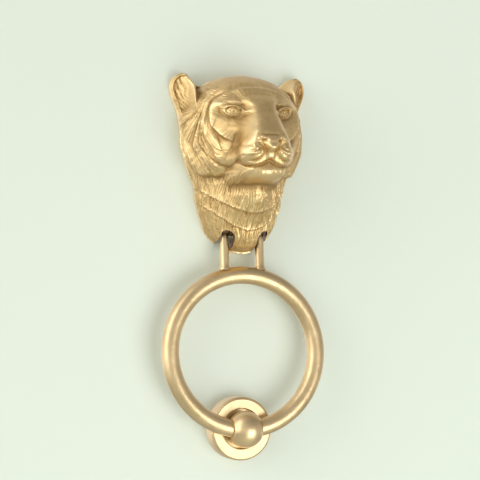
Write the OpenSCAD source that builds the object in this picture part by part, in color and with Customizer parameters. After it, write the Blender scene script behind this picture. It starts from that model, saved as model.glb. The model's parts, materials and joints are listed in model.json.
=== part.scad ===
// Door knocker: a big cat's head cast as a hollow relief, with a ring that swings from two rods
// and a ball that falls into a strike plate.
// Millimetres. The door's face is the plane y = 0, the knocker's front faces -y, and z points up.
// The origin lies on the door's face, midway between the two fixing studs.

/* [Ring] */
// Diameter of the ring, measured on the centre line of its bar
ring_d = 91.5; // [84:0.5:98]
// Thickness of the ring's bar
ring_bar_d = 10.5; // [9:0.25:11]
// Diameter of the striker ball
ball_d = 22; // [20:0.25:23]

/* [Hanger rods] */
// Diameter of each rod
rod_d = 5.5; // [4.5:0.25:6]
// Distance between the two rods, centre to centre
rod_gap = 22; // [21:0.25:23]
// Drop from the pivot's axis to the top of the ring's centre line
rod_drop = 28; // [26:0.5:34]
// Diameter of the eye at the top of each rod
eye_d = 9.5; // [8.5:0.25:10]
// Thickness of the eye
eye_t = 4; // [3.5:0.1:4.4]

/* [Pivot] */
// Height of the pivot's axis, measured from the origin
pivot_z = -44.5; // [-46:0.5:-43]
// Distance of the pivot's axis from the door
pivot_depth = 9.5; // [9:0.25:10]
// Diameter of the pivot pin
pin_d = 4; // [3.5:0.1:4.5]
// Furthest swing of the ring from its rest position, in degrees
swing_max = 50; // [30:1:52]

/* [Strike plate] */
// Diameter of the strike plate at the door
plate_d = 38; // [36:0.5:44]
// Thickness of the strike plate
plate_t = 10.5; // [9.5:0.25:12]
// Diameter of the cup that takes the ball
cup_d = 24; // [24:0.25:27]
// Radius of the plate's rounded front edge
plate_round = 1.8; // [0.5:0.1:2.5]

/* [Fixings] */
// Distance between the two fixing studs
stud_gap = 48; // [46:0.5:50]
// Thread diameter of the studs
stud_d = 6; // [5:0.5:7]
// Length of each stud behind the door's face
stud_reach = 55; // [40:1:80]
// Diameter of the cast bosses that take the studs
boss_d = 12; // [10:0.5:12.5]
// Length of each stud's plain stretch behind the door's face
stud_plain = 30; // [20:1:35]
// Shank diameter of the strike plate's screw
plate_screw_d = 5; // [4:0.25:5.5]
// Length of the strike plate's screw behind the door's face
plate_screw_reach = 50; // [40:1:70]

/* [Head] */
// Breadth of the head across the cheeks
head_w = 74.8; // [73:0.5:78]
// Reach of the nose from the door
nose_reach = 64.2; // [62:0.5:67]
// Thickness of the cast wall
wall = 3.2; // [2.8:0.1:3.4]
// Distance between the eyes, centre to centre
eye_gap = 28.8; // [27:0.2:30]
// Height of the eyes, measured from the origin
eye_z = 20.9; // [20:0.1:22]
// Breadth of the muzzle
muzzle_w = 29.6; // [27:0.2:31]
// Radius of the ears' rounded tips
ear_r = 6.2; // [5:0.1:7]
// Number of points across the modelled relief
relief_n = 67; // [31:2:67]

/* [Hidden] */
$fn = 64;
brass = "#c39a4e";
steel = "#8d8a84";
left = -1;
right = 1;

// Fits
run = 0.06; // radial clearance of the rods' eyes on the pin
snug = 0.02; // radial clearance of pieces that don't turn
strike_gap = 0.3; // gap left between the resting ball and the cup
bar_gap = 0.6; // gap left between the resting ring and the plate's face
side_gap = 0.4; // side clearance between an eye and its neighbours
room = 0.6; // clearance of the casting round the pieces that swing
door_gap = 0.5; // inner pieces stay this far clear of the door
through = 80; // longer than any cut through the head

// Ring and rods, hanging straight down from the pivot before they are tilted to rest
ring_r = ring_d / 2;
bar_r = ring_bar_d / 2;
ball_r = ball_d / 2;
spot_rim = 1.3; // the ball is spot-faced this far round the hole for the bar
ball_w = 2 * sqrt(ball_r * ball_r - (bar_r + spot_rim) ^ 2);
rod_x = rod_gap / 2;
ring_drop = rod_drop + ring_r;
ball_drop = rod_drop + ring_d;
rod_foot = ring_drop - sqrt(ring_r * ring_r - rod_x * rod_x);
eye_neck = 0.65;
shank_top = eye_d / 2 + eye_neck;
collar_t = 2.4;
collar_rim = 0.9;
collar_r = rod_d / 2 + collar_rim;

// The ball rests in the cup with the ring's bar just clear of the plate's face
ball_stand = bar_r + bar_gap;
rest_tilt = asin((plate_t + ball_stand - pivot_depth) / ball_drop);
plate_z = pivot_z - ball_drop * cos(rest_tilt);
cup_t = ball_r - ball_stand + strike_gap;
plate_floor = plate_t - cup_t;
plate_screw_head_d = 9.5;
plate_sink = (plate_screw_head_d - plate_screw_d) / 2;

// Yoke, pin and clips
lug_w = rod_gap - eye_t - 2 * side_gap;
lug_d = 10;
yoke_t = 3;
yoke_w = 33;
yoke_rise = 14; // of the plate's upper edge above the pivot's axis
yoke_h = 8.4;
yoke_top = pivot_z + yoke_rise;
yoke_low = yoke_top - yoke_h;
yoke_edge = 3.8; // from the screws' centres to the plate's upper edge
yoke_screw_x = 11;
yoke_screw_z = yoke_top - yoke_edge;
yoke_screw_d = 4;
yoke_screw_l = 11;
yoke_head_d = 7.6;
yoke_boss_d = 9;
clip_t = 0.7;
clip_d = 7.2;
clip_depth = 0.4;
clip_gap = 0.25;
pin_end = 0.5;
clip_neck_d = pin_d - 2 * clip_depth;
clip_x = rod_x + eye_t / 2 + clip_gap;
pin_l = 2 * (clip_x + clip_t + pin_end);

// Slots under the neck, and the studs' engagement in the casting
slot_gap = 1;
slot_w = rod_d + 2 * slot_gap;
slot_drop = 1.6;
slot_top = pivot_z - slot_drop;
stud_depth = 12;
tip_t = 1;

// A thread is drawn as a plain cylinder of its pitch diameter
COARSE_PITCH = [[3, 0.5], [4, 0.7], [5, 0.8], [6, 1], [8, 1.25]];
function pitch_d(d) = d - 0.65 * lookup(d, COARSE_PITCH);

// Bare head and neck, from below: height, half-breadth and depth of each section
cheek = head_w / 2;
SECTIONS = [[-59.4, 0.08 * cheek, 8], [-57, 0.267 * cheek, 14.5], [-53.8, 0.39 * cheek, 18],
  [-50.2, 0.489 * cheek, 20.2], [-45.5, 0.57 * cheek, 22.3], [-37.4, 0.652 * cheek, 25],
  [-27.2, 0.711 * cheek, 27], [-16.4, 0.781 * cheek, 32], [-8, 0.882 * cheek, 39.5],
  [3, 0.957 * cheek, 43.5], [16, 1 * cheek, 45.4], [24, 0.979 * cheek, 45], [32, 0.869 * cheek, 41.5],
  [38, 0.709 * cheek, 35], [42.5, 0.495 * cheek, 26], [45, 0.267 * cheek, 16], [46.2, 0.08 * cheek, 9]];
bottom_z = SECTIONS[0][0];
crown_z = SECTIONS[len(SECTIONS) - 1][0];

// Snout and bridge of the nose, from below: height, depth on the centre line and half-breadth
lip = muzzle_w / 2;
SNOUT = [[-31, 8, lip - 5.8], [-25, 20, lip - 4.3], [-21.5, 33, lip - 2.8], [-19.5, nose_reach - 20.2, lip - 2],
  [-17.5, nose_reach - 13.7, lip - 1.5], [-14, nose_reach - 11, lip - 0.9], [-10, nose_reach - 9.2, lip - 0.4],
  [-5, nose_reach - 5.7, lip], [-1, nose_reach - 3.7, lip - 0.1], [3, nose_reach - 3.2, lip - 1.2],
  [6, nose_reach - 4.7, lip - 2.4], [13, nose_reach - 10.7, lip - 4.4], [21.5, 46.6, lip - 5.4],
  [27, 43.8, lip - 5.2], [33, 35, lip - 4.3], [39, 20, lip - 2.8], [46.2, -5, lip - 1.8]];

// Ears: the rounded tip's centre, the lowest point of the valley beside the crown, and the front rim
ear_tip = [cheek - 1.3, crown_z - ear_r];
ear_valley = [cheek - 11.4, 39.6];
EAR_FOOT = [[cheek + 0.1, 21], [cheek + 1.7, 27]];
EAR_RIM = [[11, 6], [17, 14], [22, 18], [28, 18.4], [34, 16.5], [39, 13.8], [43, 10.5], [46.2, 7.5]];
ear_floor = 3;

// Grooves and edges drawn on the face: lists of half-breadth and height
CHEEK_GROOVE = [[27.5, 26], [26.5, 17], [22.5, 9.5], [17, 4.5], [15, 0]];
RUFF_GROOVE = [[31.5, 17], [29, 8], [24, 1.5], [18, -3]];
eye_half_w = 4.9;
eye_half_h = 3.7;
mouth_z = -7.7;
chin_z = -15;
nose_z = 1.6;

hub_z = 5; // height of the point that the relief spreads out from
rim_t = 1.5; // height of the straight edge that meets the door

// Smooth curve through rows of points: column c of p as a function of its first column
function steep(p, c, k) = (p[k + 1][c] - p[k][c]) / (p[k + 1][0] - p[k][0]);
function slope(p, c, k) =
  k == 0 ? steep(p, c, 0) : k == len(p) - 1 ? steep(p, c, k - 1) :
  let (before = p[k][0] - p[k - 1][0], after = p[k + 1][0] - p[k][0])
  (steep(p, c, k - 1) * after + steep(p, c, k) * before) / (before + after);
function span(p, v) = max([for (k = [0:len(p) - 2]) if (k == 0 || v >= p[k][0]) k]);
function curve(v, p, c) =
  let (k = span(p, v), w = p[k + 1][0] - p[k][0], t = (v - p[k][0]) / w)
  (2 * t ^ 3 - 3 * t ^ 2 + 1) * p[k][c] + (t ^ 3 - 2 * t ^ 2 + t) * w * slope(p, c, k)
  + (3 * t ^ 2 - 2 * t ^ 3) * p[k + 1][c] + (t ^ 3 - t ^ 2) * w * slope(p, c, k + 1);
function table(p, c) = [for (i = [0:200]) let (v = p[0][0] + (p[len(p) - 1][0] - p[0][0]) * i / 200) [v, curve(v, p, c)]];

// Blends and small forms of the relief
function blend(a, b, soft) = (a + b + sqrt((a - b) ^ 2 + soft ^ 2)) / 2;
function ease(from, to, v) = let (t = min(1, max(0, (v - from) / (to - from)))) t * t * (3 - 2 * t);
function dome(q, base, rise) = q < 1 ? base + rise * sqrt(1 - q) : base - 2 * rise * (sqrt(q) - 1);
function bell(u, v) = exp(-u * u - v * v);
function to_segment(p, a, b) =
  let (t = min(1, max(0, (p - a) * (b - a) / ((b - a) * (b - a))))) norm(p - a - t * (b - a));
function to_path(p, path) = min([for (k = [0:len(path) - 2]) to_segment(p, path[k], path[k + 1])]);
function turned(p, centre, angle) =
  let (d = p - centre) [d.x * cos(angle) + d.y * sin(angle), d.y * cos(angle) - d.x * sin(angle)];

HALF = table(SECTIONS, 1);
DEEP = table(SECTIONS, 2);
SNOUT_DEEP = table(SNOUT, 1);
SNOUT_HALF = table(SNOUT, 2);
EAR_DEEP = table(EAR_RIM, 1);

// Depth of each form at half-breadth x and height z
function bare_head(x, z) = lookup(z, DEEP) * sqrt(max(0, 1 - min(1, x / lookup(z, HALF)) ^ 2.05));
function fur_step(x, z, low, sag) =
  let (e = z - low - sag * min(1, x / lookup(z, HALF)) ^ 2) 1.5 * exp(-max(e, 0) / 6) * ease(-0.6, 0.4, e);
function ruff_step(x, z) =
  let (e = z + 15.7 - 5.2 * (x / 29) ^ 2) 2.6 * ease(-1.2, 1.4, e) * exp(-max(e, 0) / 9) * ease(4, 14, x);
function ear(x, z) =
  let (u = x - cheek + 5.7 - 4.3 * ease(37, 46, z) - 1.5 * ease(26, 19, z), d = lookup(z, EAR_DEEP))
  ease(13, 24, z) * (u < 0 ? d * bell(u / 6, 0) : ear_floor + (d - ear_floor) * bell(u / 2.8, 0));
function snout(x, z) = lookup(z, SNOUT_DEEP) - 18 * (x / lookup(z, SNOUT_HALF)) ^ 2.7;
function whisker_pad(x, z) = dome(((x - lip + 7.2) / 8) ^ 2 + ((z + 4) / 7.8) ^ 2, nose_reach - 24.2, 20.5);
function nose_pad(x, z) =
  let (w = lookup(z, [[-4, 2.5], [-1, 4.5], [3, 7.2], [6, 7.6]]))
  dome((x / w) ^ 2.4 + abs((z - nose_z) / 5) ^ 2.4, nose_reach - 10.2, 10.2);
function chin(x, z) = dome((x / 12) ^ 2 + ((z - chin_z) / 6.6) ^ 2, nose_reach - 26.2, 16);
function nostril(x, z) = let (p = turned([x, z], [4.9, nose_z - 0.6], 20)) 3 * bell(p.x / 2, p.y / 0.95);
function mouth(x, z) =
  let (t = min(1, x / lip), line = mouth_z - 4.6 * sin(180 * t ^ 0.85) + 1.5 * t ^ 3)
  2.4 * bell((z - line) / 0.9, 0) * ease(lip + 1.2, lip - 1.8, x);
function brow(x, z) = 1.9 * bell((x - eye_gap / 2) / 8, (z - eye_z - 6.7) / 2.2);
function eye_socket(x, z) = 3.4 * bell((x - eye_gap / 2) / 6.4, (z - eye_z) / 3.9);
function eye_ball(x, z) =
  dome(((x - eye_gap / 2) / eye_half_w) ^ 2 + ((z - eye_z) / eye_half_h) ^ 2, 36.6, 4.9);
function groove(x, z, path, cut) = cut * bell(to_path([x, z], path) / 1.3, 0);

function face(x, z) =
  let (bare = bare_head(x, z) + fur_step(x, z, -36.4, 15) + fur_step(x, z, -46.4, 16) + ruff_step(x, z),
       eared = blend(bare, ear(x, z), 2),
       snouted = blend(eared, snout(x, z), 2.5) - groove(x, z, CHEEK_GROOVE, 1.5) - groove(x, z, RUFF_GROOVE, 1.2),
       padded = blend(snouted, whisker_pad(x, z), 1.2),
       nosed = blend(padded, nose_pad(x, z), 0.8) - nostril(x, z) - mouth(x, z),
       chinned = blend(nosed, chin(x, z), 1.8),
       browed = chinned + brow(x, z) - eye_socket(x, z))
  max(rim_t, blend(browed, eye_ball(x, z), 0.4));

// Outline of the casting against the door, from the foot of the neck round one side to the crown
function running(p) =
  [for (i = 0, s = 0; i < len(p); s = s + (i + 1 < len(p) ? norm(p[i + 1] - p[i]) : 0), i = i + 1) [s, p[i].x, p[i].y]];
OUTLINE = running(concat([[0, bottom_z - 0.2]], [for (s = SECTIONS) if (s[0] < EAR_FOOT[0].y - 3) [s[1], s[0]]], EAR_FOOT,
  [for (a = [-10:20:150]) ear_tip + ear_r * [cos(a), sin(a)]], [ear_valley],
  [for (s = SECTIONS) if (s[0] > ear_valley.y + 2) [s[1], s[0]]], [[0, crown_z + 0.2]]));
function edge_table(c) =
  let (all = OUTLINE[len(OUTLINE) - 1][0]) [for (i = [0:240]) [i / 240, curve(all * i / 240, OUTLINE, c)]];

// Point of the relief for u and v from -1 to 1: a square grid spread over the outline
function relief_point(u, v, edge_x, edge_z) =
  let (d = [u * sqrt(1 - v * v / 2), v * sqrt(1 - u * u / 2)], r = min(1, norm(d)), turn = atan2(abs(d.x), -d.y) / 180,
       s = 0.3 * r + 0.7 * sin(90 * r), x = lookup(turn, edge_x) * s, z = hub_z + (lookup(turn, edge_z) - hub_z) * s)
  [(u < 0 ? -x : x), -face(x, z), z];

module relief() {
  n = relief_n;
  edge_x = edge_table(1);
  edge_z = edge_table(2);
  front = [for (j = [0:n - 1], i = [0:n - 1]) relief_point(2 * i / (n - 1) - 1, 2 * j / (n - 1) - 1, edge_x, edge_z)];
  m = n - 1;
  edge = concat([for (k = [0:m - 1]) k], [for (k = [0:m - 1]) m + k * n], [for (k = [0:m - 1]) n * n - 1 - k],
    [for (k = [0:m - 1]) (m - k) * n]);
  back = [for (k = edge) [front[k].x, 0, front[k].z]];
  count = len(edge);
  hub = n * n + count;
  skin = [for (j = [0:m - 1], i = [0:m - 1], half = [0, 1])
    let (a = j * n + i, b = a + 1, c = b + n, d = a + n)
    2 * i < m ? (half == 0 ? [a, d, c] : [a, c, b]) : (half == 0 ? [a, d, b] : [d, c, b])];
  side = [for (k = [0:count - 1], half = [0, 1])
    let (next = (k + 1) % count)
    half == 0 ? [edge[k], edge[next], n * n + next] : [edge[k], n * n + next, n * n + k]];
  rear = [for (k = [0:count - 1]) [hub, n * n + k, n * n + (k + 1) % count]];
  polyhedron(concat(front, back, [[0, 0, hub_z]]), concat(skin, side, rear));
}

// Hollow of the casting: half-ellipse sections that follow the bare head inside the wall
core_low = -54;
core_high = 40;
core_rows = 24;
core_cols = 20;
function core_section(z) =
  let (w = lookup(z, HALF) - wall, d = lookup(z, DEEP) - wall - lookup(z, [[-20, 1], [-8, 3.2]]))
  concat([[-w, 1, z]], [for (k = [0:core_cols]) let (a = 180 * k / core_cols - 90) [w * sin(a), -d * cos(a), z]], [[w, 1, z]]);

module core() {
  sections = [for (j = [0:core_rows]) core_section(core_low + (core_high - core_low) * j / core_rows)];
  n = len(sections[0]);
  last = core_rows * n;
  side = [for (j = [0:core_rows - 1], k = [0:n - 1], half = [0, 1])
    let (a = j * n + k, b = j * n + (k + 1) % n)
    half == 0 ? [a, a + n, b + n] : [a, b + n, b]];
  low = [for (k = [1:n - 2]) [0, k, k + 1]];
  high = [for (k = [1:n - 2]) [last, last + k + 1, last + k]];
  polyhedron([for (s = sections, p = s) p], concat(side, low, high));
}

// Places a shape built upwards along z so that it points out of the door, along -y, from a point on the door
module outward(x, z, depth = 0) { translate([x, -depth, z]) rotate([90, 0, 0]) children(); }
// Places a shape built upwards along z so that it points into the door, along +y
module inward(x, z, depth = 0) { translate([x, -depth, z]) rotate([-90, 0, 0]) children(); }
// Places a shape built along z, centred, on the pivot's axis
module on_pivot(x = 0) { translate([x, -pivot_depth, pivot_z]) rotate([0, 90, 0]) children(); }
// Hangs a shape from the pivot at a swing angle
module hung(angle) { translate([0, -pivot_depth, pivot_z]) rotate([-angle, 0, 0]) children(); }

module bosses() {
  for (z = [-stud_gap / 2, stud_gap / 2]) outward(0, z, door_gap) cylinder(d = boss_d, h = through);
  for (side = [left, right]) outward(side * yoke_screw_x, yoke_screw_z, door_gap + yoke_t) cylinder(d = yoke_boss_d, h = through);
}

module tapped_holes() {
  for (z = [-stud_gap / 2, stud_gap / 2])
    outward(0, z, -1) cylinder(r = pitch_d(stud_d) / 2 + snug, h = stud_depth + door_gap + 1);
  for (side = [left, right])
    outward(side * yoke_screw_x, yoke_screw_z)
      cylinder(r = pitch_d(yoke_screw_d) / 2 + snug, h = door_gap + yoke_screw_l + 1);
}

// Room for one rod: the slot that opens under the neck, its round top, and space for the eye, clip and full swing
module rod_room(side) {
  translate([side * rod_x - slot_w / 2, -through / 2, 2 * bottom_z]) cube([slot_w, through, slot_top - slot_w / 2 - 2 * bottom_z]);
  outward(side * rod_x, slot_top - slot_w / 2, pivot_depth) cylinder(d = slot_w, h = through / 2);
  on_pivot(side * rod_x) cylinder(r = eye_d / 2 + room, h = eye_t + 2 * room, center = true);
  on_pivot(side * (rod_x + pin_l / 2) / 2) cylinder(r = clip_d / 2 + room, h = pin_l / 2 - rod_x + 2 * room, center = true);
  hung(rest_tilt + swing_max + 3) translate([side * rod_x, 0, -13]) cylinder(r = rod_d / 2 + room, h = 13);
}

module head_casting() color(brass) difference() {
  relief();
  difference() {
    core();
    bosses();
  }
  tapped_holes();
  for (side = [left, right]) rod_room(side);
}

// Slotted countersunk screw: plain in the piece it holds, threaded beyond
module countersunk_screw(d, head_d, grip, l) {
  drive = 0.16 * head_d;
  thread_d = pitch_d(d);
  difference() {
    union() {
      cylinder(d1 = head_d, d2 = d, h = (head_d - d) / 2);
      cylinder(d = d, h = grip);
      cylinder(d = thread_d, h = l - tip_t / 2);
      translate([0, 0, l - tip_t / 2]) cylinder(d1 = thread_d, d2 = thread_d - tip_t, h = tip_t / 2);
    }
    translate([-head_d, -drive / 2, -1]) cube([2 * head_d, drive, 1 + drive]);
  }
}

module pivot_yoke() color(brass) difference() {
  union() {
    translate([-yoke_w / 2, -door_gap - yoke_t, yoke_low]) cube([yoke_w, yoke_t, yoke_top - yoke_low]);
    translate([-lug_w / 2, -door_gap - yoke_t, pivot_z]) cube([lug_w, yoke_t, yoke_top - pivot_z]);
    translate([-lug_w / 2, -pivot_depth, pivot_z - lug_d / 2]) cube([lug_w, pivot_depth - door_gap, lug_d]);
    on_pivot() cylinder(d = lug_d, h = lug_w, center = true);
  }
  on_pivot() cylinder(r = pin_d / 2 + snug, h = through, center = true);
  for (side = [left, right]) outward(side * yoke_screw_x, yoke_screw_z, door_gap) {
    cylinder(r1 = yoke_head_d / 2 + snug, r2 = yoke_screw_d / 2 + snug, h = (yoke_head_d - yoke_screw_d) / 2);
    cylinder(r = yoke_screw_d / 2 + snug, h = through);
  }
}

module yoke_screw(side) color(steel)
  outward(side * yoke_screw_x, yoke_screw_z, door_gap) countersunk_screw(yoke_screw_d, yoke_head_d, yoke_t, yoke_screw_l);

module pivot_pin() color(steel) difference() {
  on_pivot() cylinder(d = pin_d, h = pin_l, center = true);
  for (side = [left, right]) on_pivot(side * (clip_x + clip_t / 2)) difference() {
    cylinder(d = 2 * pin_d, h = clip_t + 2 * snug, center = true);
    cylinder(d = clip_neck_d, h = through, center = true);
  }
}

module pin_clip(side) color(steel) on_pivot(side * (clip_x + clip_t / 2)) difference() {
  cylinder(d = clip_d, h = clip_t, center = true);
  cylinder(r = clip_neck_d / 2 + snug, h = through, center = true);
  translate([0, -0.4 * clip_neck_d, -clip_t]) cube([clip_d, 0.8 * clip_neck_d, 2 * clip_t]);
}

module ring_bar(extra = 0) {
  translate([0, 0, -ring_drop]) rotate([90, 0, 0]) rotate_extrude() translate([ring_r, 0]) circle(r = bar_r + extra);
}

module hanger_rod(side) color(brass) hung(rest_tilt) translate([side * rod_x, 0, 0]) {
  difference() {
    union() {
      rotate([0, 90, 0]) cylinder(d = eye_d, h = eye_t, center = true);
      translate([-eye_t / 2, -rod_d / 2, -shank_top - 1.5]) cube([eye_t, rod_d, shank_top + 1.5]);
      translate([0, 0, -rod_foot]) cylinder(d = rod_d, h = rod_foot - shank_top);
    }
    rotate([0, 90, 0]) cylinder(r = pin_d / 2 + run, h = through, center = true);
  }
  difference() {
    translate([0, 0, -rod_foot + bar_r - 1]) cylinder(r1 = collar_r, r2 = rod_d / 2, h = collar_t + 1);
    translate([-side * rod_x, 0, 0]) ring_bar();
  }
}

module knocker_ring() color(brass) hung(rest_tilt) difference() {
  ring_bar();
  for (side = [left, right]) translate([side * rod_x, 0, -rod_foot]) cylinder(r = rod_d / 2 + snug, h = ring_bar_d);
}

module striker_ball() color(brass) hung(rest_tilt) difference() {
  translate([0, 0, -ball_drop]) intersection() {
    rotate([0, 90, 0]) sphere(d = ball_d);
    cube([ball_w, 2 * ball_d, 2 * ball_d], center = true);
  }
  ring_bar(snug);
}

module strike_plate() color(brass) outward(0, plate_z) difference() {
  rotate_extrude() polygon(concat([[0, 0], [plate_d / 2, 0]],
    [for (a = [0:15:90]) [plate_d / 2 - plate_round * (1 - cos(a)), plate_t - plate_round * (1 - sin(a))]], [[0, plate_t]]));
  translate([0, 0, plate_floor]) cylinder(d = cup_d, h = plate_t);
  translate([0, 0, -1]) cylinder(r = plate_screw_d / 2 + snug, h = plate_t);
  translate([0, 0, plate_floor - plate_sink])
    cylinder(r1 = plate_screw_d / 2 + snug, r2 = plate_screw_head_d / 2 + snug, h = plate_sink);
}

module strike_plate_screw() color(steel)
  inward(0, plate_z, plate_floor)
    countersunk_screw(plate_screw_d, plate_screw_head_d, plate_floor, plate_floor + plate_screw_reach);

// Double-ended stud: one end in the casting, a plain stretch in the door, and the end that takes a nut
module fixing_stud(z) color(steel) {
  thread_d = pitch_d(stud_d);
  inward(0, z, stud_depth + door_gap) cylinder(d = thread_d, h = stud_depth + door_gap + stud_reach - tip_t);
  inward(0, z, 0) cylinder(d = stud_d, h = stud_plain);
  inward(0, z, tip_t - stud_reach) cylinder(d1 = thread_d, d2 = thread_d - 2 * tip_t, h = tip_t);
}

head_casting();
pivot_yoke();
yoke_screw(left);  // yoke_screw_left
yoke_screw(right);  // yoke_screw_right
pivot_pin();
pin_clip(left);  // pin_clip_left
pin_clip(right);  // pin_clip_right
hanger_rod(left);  // hanger_rod_left
hanger_rod(right);  // hanger_rod_right
knocker_ring();
striker_ball();
strike_plate();
strike_plate_screw();
fixing_stud(stud_gap / 2);  // fixing_stud_upper
fixing_stud(-stud_gap / 2);  // fixing_stud_lower
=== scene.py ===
import json
import math

import bmesh
import bpy
import numpy as np
from mathutils import Matrix, Vector

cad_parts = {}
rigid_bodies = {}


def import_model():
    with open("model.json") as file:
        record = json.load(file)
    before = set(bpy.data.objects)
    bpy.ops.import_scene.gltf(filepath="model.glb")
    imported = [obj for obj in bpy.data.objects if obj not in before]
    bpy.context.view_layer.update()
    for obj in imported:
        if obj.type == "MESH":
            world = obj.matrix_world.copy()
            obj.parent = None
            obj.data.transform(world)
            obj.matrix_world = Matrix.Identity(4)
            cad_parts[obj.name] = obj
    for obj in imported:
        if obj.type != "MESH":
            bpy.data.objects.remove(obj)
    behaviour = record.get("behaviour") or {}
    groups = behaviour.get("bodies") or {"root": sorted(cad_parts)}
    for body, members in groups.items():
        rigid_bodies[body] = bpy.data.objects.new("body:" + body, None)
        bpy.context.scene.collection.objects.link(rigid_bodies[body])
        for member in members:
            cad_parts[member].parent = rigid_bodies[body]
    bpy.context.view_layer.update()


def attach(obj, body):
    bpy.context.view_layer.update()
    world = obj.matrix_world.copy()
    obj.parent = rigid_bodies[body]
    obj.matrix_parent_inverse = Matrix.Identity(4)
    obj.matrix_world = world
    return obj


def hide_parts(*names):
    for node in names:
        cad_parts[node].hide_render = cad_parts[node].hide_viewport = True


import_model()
scene = bpy.context.scene
MM = 0.001

# Door knocker with a big cat's head. x points to the right, y into the door and z up. Pieces are modelled in
# millimetres, and finish_piece brings them to metres.

# Helpers of the relief. Depth is the distance from the door's face.


def curve(v, points):
    """Smooth curve through points (position, value)."""
    p = np.asarray(points, float)
    z, y = p[:, 0], p[:, 1]
    d, w = np.diff(y) / np.diff(z), np.diff(z)
    m = np.r_[d[0], (d[:-1] * w[1:] + d[1:] * w[:-1]) / (w[:-1] + w[1:]), d[-1]]
    v = np.clip(v, z[0], z[-1])
    i = np.clip(np.searchsorted(z, v, side="right") - 1, 0, len(z) - 2)
    t = (v - z[i]) / w[i]
    rise = (2 * t**3 - 3 * t**2 + 1) * y[i] + (3 * t**2 - 2 * t**3) * y[i + 1]
    return rise + w[i] * ((t**3 - 2 * t**2 + t) * m[i] + (t**3 - t**2) * m[i + 1])


def ease(a, b, v):
    """Smooth step from 0 at a to 1 at b."""
    t = np.clip((v - a) / (b - a), 0, 1)
    return t * t * (3 - 2 * t)


def bell(u, v=0.0):
    """Bell curve of a distance, or of two at right angles."""
    return np.exp(-u * u - v * v)


def blend(a, b, soft):
    """The larger of two depths, with a rounded crossing."""
    return (a + b + np.sqrt((a - b) ** 2 + soft * soft)) / 2


def dome(q, base, rise):
    """A rounded top where q is under 1, and a skirt that falls away outside it."""
    inside = base + rise * np.sqrt(np.maximum(0, 1 - q))
    return np.where(q < 1, inside, base - 2 * rise * (np.sqrt(np.maximum(q, 1e-9)) - 1))


def smooth_path(points, n):
    """Points at even steps along a smooth path."""
    p = np.asarray(points, float)
    t = np.r_[0, np.cumsum(np.hypot(*np.diff(p, axis=0).T))]
    s = np.linspace(0, t[-1], n)
    return np.c_[curve(s, np.c_[t, p[:, 0]]), curve(s, np.c_[t, p[:, 1]])]


def to_path(x, z, points, n=32):
    """Signed distance to a smooth path, positive on its left, and the share of the way along it."""
    p = smooth_path(points, n)
    best = np.full(np.shape(x), 1e9)
    along = np.zeros(np.shape(x))
    side = np.ones(np.shape(x))
    for k in range(n - 1):
        a, d = p[k], p[k + 1] - p[k]
        t = np.clip(((x - a[0]) * d[0] + (z - a[1]) * d[1]) / (d @ d), 0, 1)
        r = np.hypot(x - a[0] - t * d[0], z - a[1] - t * d[1])
        near = r < best
        best = np.where(near, r, best)
        along = np.where(near, (k + t) / (n - 1), along)
        left = np.where(d[0] * (z - a[1]) - d[1] * (x - a[0]) < 0, -1.0, 1.0)
        side = np.where(near, left, side)
    return best * side, along


def turned(x, z, cx, cz, degrees):
    """Coordinates about a centre, on axes turned by an angle."""
    c, s = math.cos(math.radians(degrees)), math.sin(math.radians(degrees))
    return (x - cx) * c + (z - cz) * s, (z - cz) * c - (x - cx) * s


def noise(x, y, seed):
    """Smooth value noise from 0 to 1."""
    i, j = np.floor(x).astype(np.int64), np.floor(y).astype(np.int64)
    u, v = x - i, y - j
    u, v = u * u * (3 - 2 * u), v * v * (3 - 2 * v)

    def lattice(a, b):
        n = (a * 374761393 + b * 668265263 + seed * 362437) & 0xFFFFFFFF
        n = ((n ^ (n >> 13)) * 1274126177) & 0xFFFFFFFF
        return ((n ^ (n >> 16)) & 0xFFFFFF) / 0xFFFFFF

    low = lattice(i, j) * (1 - u) + lattice(i + 1, j) * u
    return low * (1 - v) + (lattice(i, j + 1) * (1 - u) + lattice(i + 1, j + 1) * u) * v


def strands(across, along, pitch, seed, wander, length):
    """Rounded locks with sharp valleys, from -1 to 0, that wander and break off along their length."""
    a = across / pitch + wander * (noise(across / (2.5 * pitch), along / length, seed) - 0.5) * 2
    valley = 1 - np.abs(np.sin(np.pi * a))
    lock = np.floor(a)
    shift = 13 * noise(lock + 0.5, 0.5 + 0 * a, seed + 1)
    cut = 0.35 + 0.65 * noise(lock * 7.3 + 0.5, along / (0.7 * length) + shift, seed + 2)
    return -(valley**1.6) * cut


# The bare head and neck, from below: height with half-breadth, and height with depth
HALF = [(-59.4, 3), (-57, 10), (-53.8, 14.6), (-50.2, 18.3), (-45.5, 21.2), (-37.4, 24.0), (-27.2, 26.0),
        (-16.4, 28.4), (-8, 31.8), (3, 34.6), (16, 36.2), (24, 35.8), (32, 32.0), (38, 26.3), (42.5, 18.5),
        (45, 10), (46.2, 3)]
DEEP = [(-59.4, 8), (-57, 14.5), (-53.8, 18), (-50.2, 20.5), (-45.5, 22.6), (-37.4, 25.2), (-27.2, 27),
        (-16.4, 30), (-8, 35.5), (3, 39.5), (16, 42), (24, 42), (32, 38.4), (38, 31.8), (42.5, 23.4),
        (45, 15.1), (46.2, 9)]
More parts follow.
